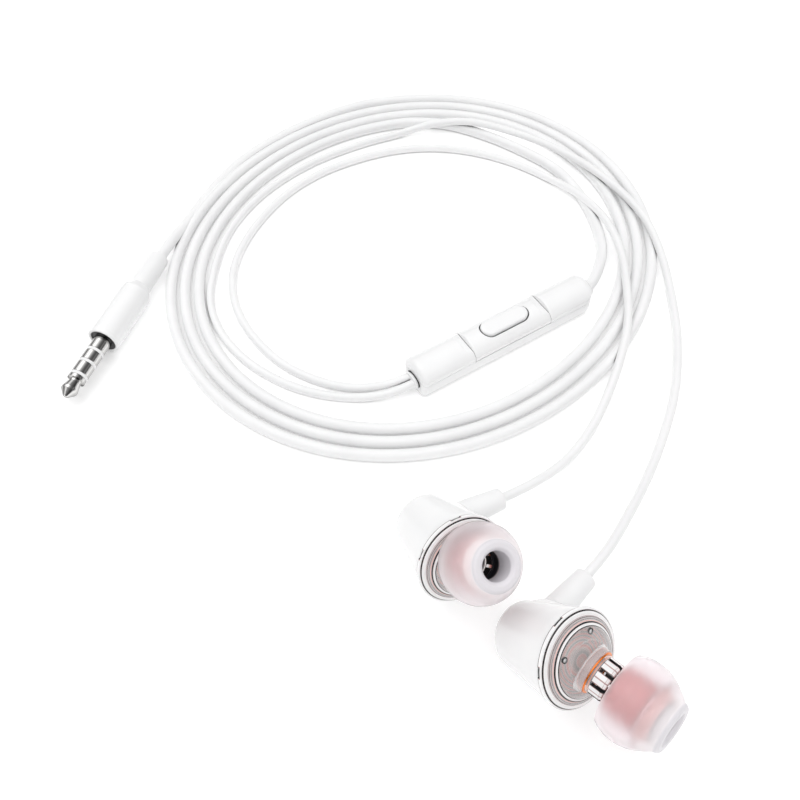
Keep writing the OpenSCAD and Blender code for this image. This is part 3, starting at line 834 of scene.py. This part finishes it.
def make_nozzle_trim(side, nozzle):
    inner = CROWN_R + 0.02
    ring = lathe(rounded([
        (inner, 0.05, 0.06), (3.46, 0.05, 0.08), (3.46, 0.3, 0.1), (inner, 0.3, 0.06)]), 96, True)
    make(side + "_copper_ring", ring, nozzle, COPPER, "earphones", [side + "_nozzle_ring"])
    screen = lathe([
        (0, 0.42, 0), (1.2, 0.38, 0), (2.1, 0.3, 0), (2.37, 0.2, 0), (2.37, 0.12, 0),
        (0, 0.25, 0)], 64)
    make(side + "_sound_screen", screen, nozzle, WIRE_MESH, "earphones", [side + "_nozzle_mesh"])
    hoop = lathe(rounded([
        (2.14, 0.3, 0.05), (2.38, 0.3, 0.05), (2.38, 0.5, 0.08), (2.14, 0.5, 0.08)]), 96, True)
    make(side + "_screen_hoop", hoop, nozzle, COPPER if side == "right" else STEEL, "earphones")


def make_diaphragm(side, frame_matrix):
    waves = [(3.1 + 0.29 * k, -0.82 + 0.05 * (k % 2), 1.0 - k % 2) for k in range(8)]
    top = [(0, -0.3, 0.5), (0.9, -0.34, 0.2), (1.2, -0.37, 1), (1.8, -0.46, 0.6), (2.2, -0.57, 0),
           (2.5, -0.66, 1), (2.9, -0.8, 0)] + waves
    bottom = [(r, z - 0.07, tone) for r, z, tone in top[::-1]]
    make(side + "_diaphragm_film", lathe(top + bottom, 96), frame_matrix, FILM, "earphones",
         [side + "_diaphragm"])


def make_seal(side, frame_matrix):
    outline = rounded([
        (6.6, -0.28, 0.1), (7.22, -0.28, 0.1), (7.22, -0.02, 0.1), (6.6, -0.02, 0.1)])
    make(side + "_seal", lathe(outline, 128, True), frame_matrix, DARK, "earphones",
         [side + "_seal_ring"])


ROSY = 0.35             # the tone of the rosy insert inside the silicone


def make_tip(side, bud, nozzle):
    outline = rounded([
        (5.35, 0.25, 0.12), (5.62, 0.25, 0.14), (6.03, 1.0, 3), (6.32, 2.2, 3), (TIP_R, 3.4, 3),
        (6.25, 4.6, 3), (5.87, 5.8, 3), (5.32, 6.8, 3), (4.7, 7.75, 3), (4.08, 8.55, 0.4),
        (3.9, 9.0, 0.3), (3.6, TIP_LEN, 0.45), (2.75, TIP_LEN - 0.03, 0.5),
        (TIP_BORE_R, TIP_LEN - 0.6, 0.3), (TIP_BORE_R, 5.2), (TIP_BORE_R, 4.6, 0.1),
        (2.5, 3.1, 0.1), (2.1, 2.75, 0.1), (3.05, 2.7, 0.1),
        (3.05, 4.98, 0.1), (CORE_R + 0.05, 5.03), (CORE_R + 0.05, 0.4),
        (4.15, 0.35, 0.1), (4.2, 5.6, 0.4), (4.8, 5.9, 0.4), (5.3, 5.2, 1), (5.65, 4.2, 1),
        (5.82, 3.2, 1), (5.72, 2, 1), (5.5, 1, 1),
    ], 6)
    tones = []
    for r, z, _ in outline:
        tone = 0.1 * min(1, max(0, (z - 5.6) / 2.8))
        if z > TIP_LEN - 0.8 and r < 4.05:
            tone = 0.26 if r > 3.8 else 0.2
        elif r < 2.7:
            # deep in the bore the silicone is painted dark as shade
            tone = 0.24 if z > 5 else 1.0
        tones.append((r, z, tone))
    place = nozzle @ shift(0, 0, bud["tip_at"])
    insert = lathe([
        (2.75, 5.15, ROSY), (3.6, 5.15, ROSY), (3.2, 7, ROSY), (2.75, 7, ROSY)], 96, True)
    tip = joined(lathe(tones, SMOOTH, True), insert)
    make(side + "_silicone_tip", tip, place, SILICONE, side + "_tip",
         [side + "_ear_tip"], 60)
    core = rounded([
        (CROWN_R + 0.06, 0.35, 0.1), (CORE_R, 0.35, 0.15), (CORE_R, 4.95, 0.15),
        (CROWN_R + 0.06, 4.95, 0.1)])
    make(side + "_tip_sleeve", lathe(core, 96, True), place, PINK, side + "_tip",
         [side + "_tip_core"])


for side, bud in BUDS.items():
    here = bud_frame(bud)
    nozzle = nozzle_frame(bud)
    make_housing(side, here)
    make_relief(side, here)
    make_front_shell(side, bud, here, nozzle)
    make_crown(side, nozzle)
    make_nozzle_trim(side, nozzle)
    make_diaphragm(side, here)
    make_seal(side, here)
    make_tip(side, bud, nozzle)

# ---------------------------------------------------------------- remote


PLUG_END_R = 3.1        # corners in plan
LEAD_END_R = 0.9
PLUG_END_DROP = 1.8     # how far each end rounds over in height
LEAD_END_DROP = 1.3
EDGE = 0.05             # the bevel on the caps and the key
SILL_INSET = 0.05
SILL_CLEAR = 0.06


def half_width(x):
    """Half the remote's width at x: the plug end is round and the lead end has small corners."""
    width = REMOTE_SIDE
    for along, corner in ((x, PLUG_END_R), (-x, LEAD_END_R)):
        past = along - (REMOTE_HALF - corner)
        if past > 0:
            width = REMOTE_SIDE - corner + math.sqrt(max(0.0, corner ** 2 - past ** 2))
    return width


def end_drop(x):
    """How far the top rounds down near the two ends."""
    drop = 0.0
    for along, corner in ((x, PLUG_END_DROP), (-x, LEAD_END_DROP)):
        past = along - (REMOTE_HALF - corner)
        if past > 0:
            drop = corner - math.sqrt(max(0.0, corner ** 2 - past ** 2))
    return drop


def stations(low, high):
    """Places along the remote for its outlines, closer together where the ends round off."""
    count = max(2, int((high - low) / 0.8))
    xs = {round(low + (high - low) * k / count, 4) for k in range(count + 1)}
    ends = (
        (REMOTE_HALF - PLUG_END_R, PLUG_END_R), (-REMOTE_HALF + LEAD_END_DROP, -LEAD_END_DROP))
    for start, reach in ends:
        for k in range(13):
            x = round(start + reach * math.sin(math.radians(90 * k / 12)), 4)
            if low <= x <= high:
                xs.add(x)
    return sorted(xs)


def crown_z(y):
    """The height of the crowned top at y across the remote."""
    return REMOTE_H - REMOTE_CROWN_R + math.sqrt(REMOTE_CROWN_R ** 2 - y ** 2)


def loft(low, high, outline):
    """A solid through the outlines at each station along the remote."""
    xs = stations(low, high)
    rows = [outline(half_width(x), end_drop(x)) for x in xs]
    n = len(rows[0])
    verts = [(x, y, z) for x, row in zip(xs, rows) for y, z in row]
    faces = [list(range(n)), list(range((len(xs) - 1) * n, len(xs) * n))[::-1]]
    for i in range(len(xs) - 1):
        for j in range(n):
            a, b = i * n + j, i * n + (j + 1) % n
            faces.append([a, b, b + n, a + n])
    return plain(verts, faces)


def upper_outline(base, inset=0.0):
    """The outline of a crowned upper piece whose flat underside is at base."""
    def outline(w, drop):
        w, drop = w - inset, drop + inset
        points = [(w, base)]
        arc = 24
        for k in range(arc + 1):
            y = w * math.cos(math.pi * k / arc)
            points.append((y, max(base + 0.2, crown_z(y) - drop)))
        return points + [(-w, base)]
    return outline


def lower_outline(w, _):
    """The lower shell's outline at half width w. Its ends don't round down."""
    foot = 1.2
    steps = 6
    points = [(w, LOWER_H)]
    for sign in (1, -1):
        arc = [(sign * (w - foot + foot * math.cos(a)), foot - foot * math.sin(a))
               for a in (math.radians(90 * k / steps) for k in range(steps + 1))]
        points += arc if sign > 0 else arc[::-1]
    return points + [(-w, LOWER_H)]


def dip_prisms(sink=0.0):
    """Two V-shaped bars across the top."""
    bars = []
    for s in (-1, 1):
        x = s * (ROCKER_HALF + ROCKER_GAP / 2)
        plan = [(x, 5.5 - sink), (x + 0.3, 7.2), (x - 1.9, 7.2), (x - 1.5, 5.95 - sink)]
        bar = prism(plan, -6, 6)
        bars.append(moved(bar, turn("X", 90)))
    return bars


def oval(grow, steps=12):
    """The call button's outline, grown all round."""
    r = BUTTON_R + grow
    reach = BUTTON_LEN / 2 - BUTTON_R
    points = []
    for s, start in ((1, -90), (-1, 90)):
        for k in range(steps + 1):
            a = math.radians(start + 180 * k / steps)
            points.append((s * reach + r * math.cos(a), r * math.sin(a)))
    return points


def make_remote():
    squeeze = Matrix.Diagonal((0.66, 1, 1, 1))
    lead_end = shift(-REMOTE_HALF + 1.6, 0, 2.4) @ turn("Y", 90) @ squeeze
    lead_hole = moved(prism(circle(2.1, 48), -4, 3), lead_end)
    main_hole = moved(prism(circle(1.6, 40), -3, 4), shift(REMOTE_HALF, 0, 3) @ turn("Y", 90))
    dips = dip_prisms()
    lower = cut(loft(-REMOTE_HALF, REMOTE_HALF, lower_outline), [lead_hole, main_hole], 0.1)
    make("remote_base", lower, REMOTE, WHITE, "earphones", ["remote_lower_shell"])
    upper = upper_outline(LOWER_H + 0.06)
    gap = ROCKER_HALF + ROCKER_GAP
    lead_cap = cut(loft(-REMOTE_HALF, -gap, upper), [dips[0], lead_hole], EDGE)
    make("remote_cap_lead_end", lead_cap, REMOTE, WHITE, "earphones", ["remote_lead_cap"])
    plug_cap = cut(loft(gap, REMOTE_HALF, upper), [dips[1], main_hole], EDGE)
    make("remote_cap_plug_end", plug_cap, REMOTE, WHITE, "earphones", ["remote_plug_cap"])
    sill = upper_outline(LOWER_H + 0.2, SILL_INSET)
    sills = [cut(loft(low, low + ROCKER_GAP - SILL_CLEAR, sill), dip_prisms(SILL_INSET))
             for low in (-gap, ROCKER_HALF + SILL_CLEAR)]
    make("remote_gap_sills", joined(*sills), REMOTE, WHITE, "earphones")
    window = prism(oval(KEY_GAP), 4.4, 8)
    key = loft(-ROCKER_HALF, ROCKER_HALF, upper_outline(LOWER_H + ROCKER_LIFT))
    key = cut(key, dips + [window], EDGE)
    make("remote_key", key, REMOTE, WHITE, "volume_rocker", ["remote_volume_rocker"])


def make_button():
    levels = [      # how far the outline grows at each height, rounding over to the top
        (0, 4.9), (0, 6.3), (-0.03, 6.5), (-0.12, 6.63), (-0.28, 6.71), (-0.55, 6.74), (-1.0, 6.75),
    ]
    plan = oval(0)
    n = len(plan)
    verts, faces = [], []
    for grow, z in levels:
        verts += [(x, y, z) for x, y in oval(grow)]
    for i in range(len(levels) - 1):
        for j in range(n):
            a, b = i * n + j, i * n + (j + 1) % n
            faces.append([a, b, b + n, a + n])
    faces += [list(range(n))[::-1], list(range((len(levels) - 1) * n, len(levels) * n))]
    make("remote_button_cap", plain(verts, faces), REMOTE, WHITE, "call_button",
         ["remote_button"], 50)


def make_grommets():
    lead = lathe(rounded([
        (0, -0.75), (1.9, -0.75, 0.15), (2.05, -0.55, 0.1), (2.05, -0.3, 0.1), (1.7, -0.25, 0.05),
        (1.7, 1.4), (0, 1.4)]), 64)
    place = REMOTE @ shift(-REMOTE_HALF, 0, 2.4) @ turn("Y", 90) @ Matrix.Diagonal((0.66, 1, 1, 1))
    make("remote_grommet_leads", lead, place, SOFT, "earphones", ["remote_lead_grommet"])
    # A dark ring round the lead grommet's throat.
    throat = lathe(rounded([
        (1.72, -0.12, 0.05), (2.08, -0.12, 0.05), (2.08, 1), (1.72, 1)]), 64, True)
    make("remote_grommet_dark_ring", throat, place, DARK, "earphones")
    main = lathe(rounded([
        (0, -1.5), (1.55, -1.5), (1.55, 0), (1.85, 0.02, 0.1), (1.6, 0.8, 0.15),
        (1.2, 0.8, 0.05), (0, 0.7)]), 64)
    make("remote_grommet_main", main, REMOTE @ shift(REMOTE_HALF, 0, 3) @ turn("Y", 90), SOFT,
         "earphones", ["remote_main_grommet"])


make_remote()
make_button()
make_grommets()

# ---------------------------------------------------------------- plug

BANDS = [(4.6, 5.2), (7.7, 8.3), (10.6, 11.2)]


def painted_reflection_streaks(shape):
    """Paints reflections on a turned piece: dark and bright streaks along its length, as tones
    round its axis.
    """
    verts, faces, _ = shape
    angles = [math.atan2(y, x) for x, y, _ in verts]
    return verts, faces, [0.5 + 0.38 * math.cos(4 * a + 0.6) + 0.2 * math.cos(7 * a + 2.0)
                          for a in angles]


def make_contact(name, low, high, node):
    outline = rounded([
        (0, low), (PLUG_R - 0.12, low), (PLUG_R, low + 0.1, 0.06), (PLUG_R, high - 0.1, 0.06),
        (PLUG_R - 0.12, high), (0, high)])
    make(name, painted_reflection_streaks(lathe(outline, 96)), PLUG, NICKEL, "earphones", [node])


def make_plug():
    tip = rounded([
        (0, 0), (0.5, 0.02, 0.2), (1.6, 1.35, 0.35), (1.62, 1.8, 0.3), (1.22, 3.3, 0.5),
        (1.22, 3.7, 0.1), (PLUG_R, 3.85, 0.08), (PLUG_R, BANDS[0][0] - 0.1, 0.06),
        (PLUG_R - 0.12, BANDS[0][0]), (0, BANDS[0][0])])
    make("plug_tip", painted_reflection_streaks(lathe(tip, 96)), PLUG, NICKEL, "earphones", ["plug_tip_contact"])
    make_contact("plug_ring_1", BANDS[0][1], BANDS[1][0], "plug_ring_contact_1")
    make_contact("plug_ring_2", BANDS[1][1], BANDS[2][0], "plug_ring_contact_2")
    sleeve = rounded([
        (0, BANDS[2][1]), (PLUG_R - 0.12, BANDS[2][1]), (PLUG_R, BANDS[2][1] + 0.1, 0.06),
        (PLUG_R, PLUG_LEN + 0.7), (0, PLUG_LEN + 0.7)])
    make("plug_sleeve", painted_reflection_streaks(lathe(sleeve, 96)), PLUG, NICKEL, "earphones",
         ["plug_sleeve_contact"])
    r = PLUG_R - 0.02
    bands = [lathe(rounded([(0, low), (r, low, 0.05), (r, high, 0.05), (0, high)]), 96)
             for low, high in BANDS]
    make("plug_bands", joined(*bands), PLUG, SOFT, "earphones", ["plug_insulators"])
    collar = rounded([
        (PLUG_R + 0.03, PLUG_LEN + 0.45, 0.1), (2.3, PLUG_LEN + 0.4, 0.1),
        (2.6, PLUG_LEN + 0.1, 0.1), (2.6, PLUG_LEN + 0.7), (PLUG_R + 0.03, PLUG_LEN + 0.7)])
    make("plug_mouth_ring", lathe(collar, 96, True), PLUG, DARK, "earphones", ["plug_collar"])


def make_grip():
    end = PLUG_LEN + GRIP_LEN
    grip = rounded([
        (0, PLUG_LEN + 0.7), (2.6, PLUG_LEN + 0.7), (2.6, PLUG_LEN + 0.1, 0.1),
        (2.75, PLUG_LEN, 0.1),
        (GRIP_R - 0.1, PLUG_LEN, 0.3), (GRIP_R, PLUG_LEN + 1, 0.5), (GRIP_R, end - 1.6, 1.0),
        (2.5, end, 0.25), (0, end)], 8)
    make("plug_grip_shell", lathe(grip, 96), PLUG, WHITE, "earphones", ["plug_grip"], 45)
    stop = end + PLUG_RELIEF_LEN
    relief = rounded([
        (0, end - 0.2), (2.3, end - 0.2), (2.3, end + 0.2), (2.08, stop - 0.5), (1.95, stop, 0.35),
        (MAIN_D / 2 + 0.1, stop, 0.1), (MAIN_D / 2, stop - 1), (0, stop - 1)], 8)
    make("plug_relief_sleeve", lathe(relief, 96), PLUG, SOFT, "earphones",
         ["plug_strain_relief"], 45)


make_plug()
make_grip()

# ---------------------------------------------------------------- the cords' end points

tuple(REMOTE_END_ROUTE[-1])
tuple(LEAD_LEFT_ROUTE[-1])
tuple(LEAD_RIGHT_ROUTE[-1])

# ---------------------------------------------------------------- studio


def make_floor():
    size = 3.0
    mesh = bpy.data.meshes.new("floor")
    corners = [(-size, -size, 0), (size, -size, 0), (size, size, 0), (-size, size, 0)]
    mesh.from_pydata(corners, [], [[0, 1, 2, 3]])
    floor = bpy.data.objects.new("floor", mesh)
    bpy.context.scene.collection.objects.link(floor)
    material, tree, shader = new_material("floor", (0.9, 0.9, 0.9), 0.9)
    shader.inputs["Specular IOR Level"].default_value = 0.0
    shader.inputs["Emission Color"].default_value = (1, 1, 1, 1)
    shader.inputs["Emission Strength"].default_value = 0.25
    mesh.materials.append(material)
    floor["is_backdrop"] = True


def area_light(name, place, target, size, power):
    data = bpy.data.lights.new(name, "AREA")
    data.shape = "SQUARE"
    data.size = size
    data.energy = power
    light = bpy.data.objects.new(name, data)
    light.location = place
    aim = Vector(target) - Vector(place)
    light.rotation_euler = aim.to_track_quat("-Z", "Y").to_euler()
    bpy.context.scene.collection.objects.link(light)


def make_world():
    """A grey studio: pale at the horizon and overhead, with two dark bands to reflect."""
    world = bpy.data.worlds.new("studio")
    bpy.context.scene.world = world
    world.use_nodes = True
    tree = world.node_tree
    place = tree.nodes.new("ShaderNodeTexCoord")
    split = tree.nodes.new("ShaderNodeSeparateXYZ")
    tree.links.new(place.outputs["Generated"], split.inputs["Vector"])
    sky = ramp(tree, split.outputs["Z"], [
        (0.0, 0.62), (0.09, 0.6), (0.16, 0.1), (0.3, 0.14), (0.48, 0.75), (0.58, 0.8),
        (0.61, 0.2), (0.66, 0.2), (0.69, 0.9), (1.0, 1.1)])
    background = tree.nodes["Background"]
    tree.links.new(sky, background.inputs["Color"])
    background.inputs["Strength"].default_value = 1.35


make_floor()
make_world()
area_light("key", (-0.25, 0.15, 0.40), (-0.02, 0.05, 0), 0.4, 0.28)
bpy.context.scene.view_settings.view_transform = "Standard"

plain_box = lambda box: [[float(v) for v in corner] for corner in box]
{"cad": plain_box(CAD_BOX), "visual": plain_box(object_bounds())}
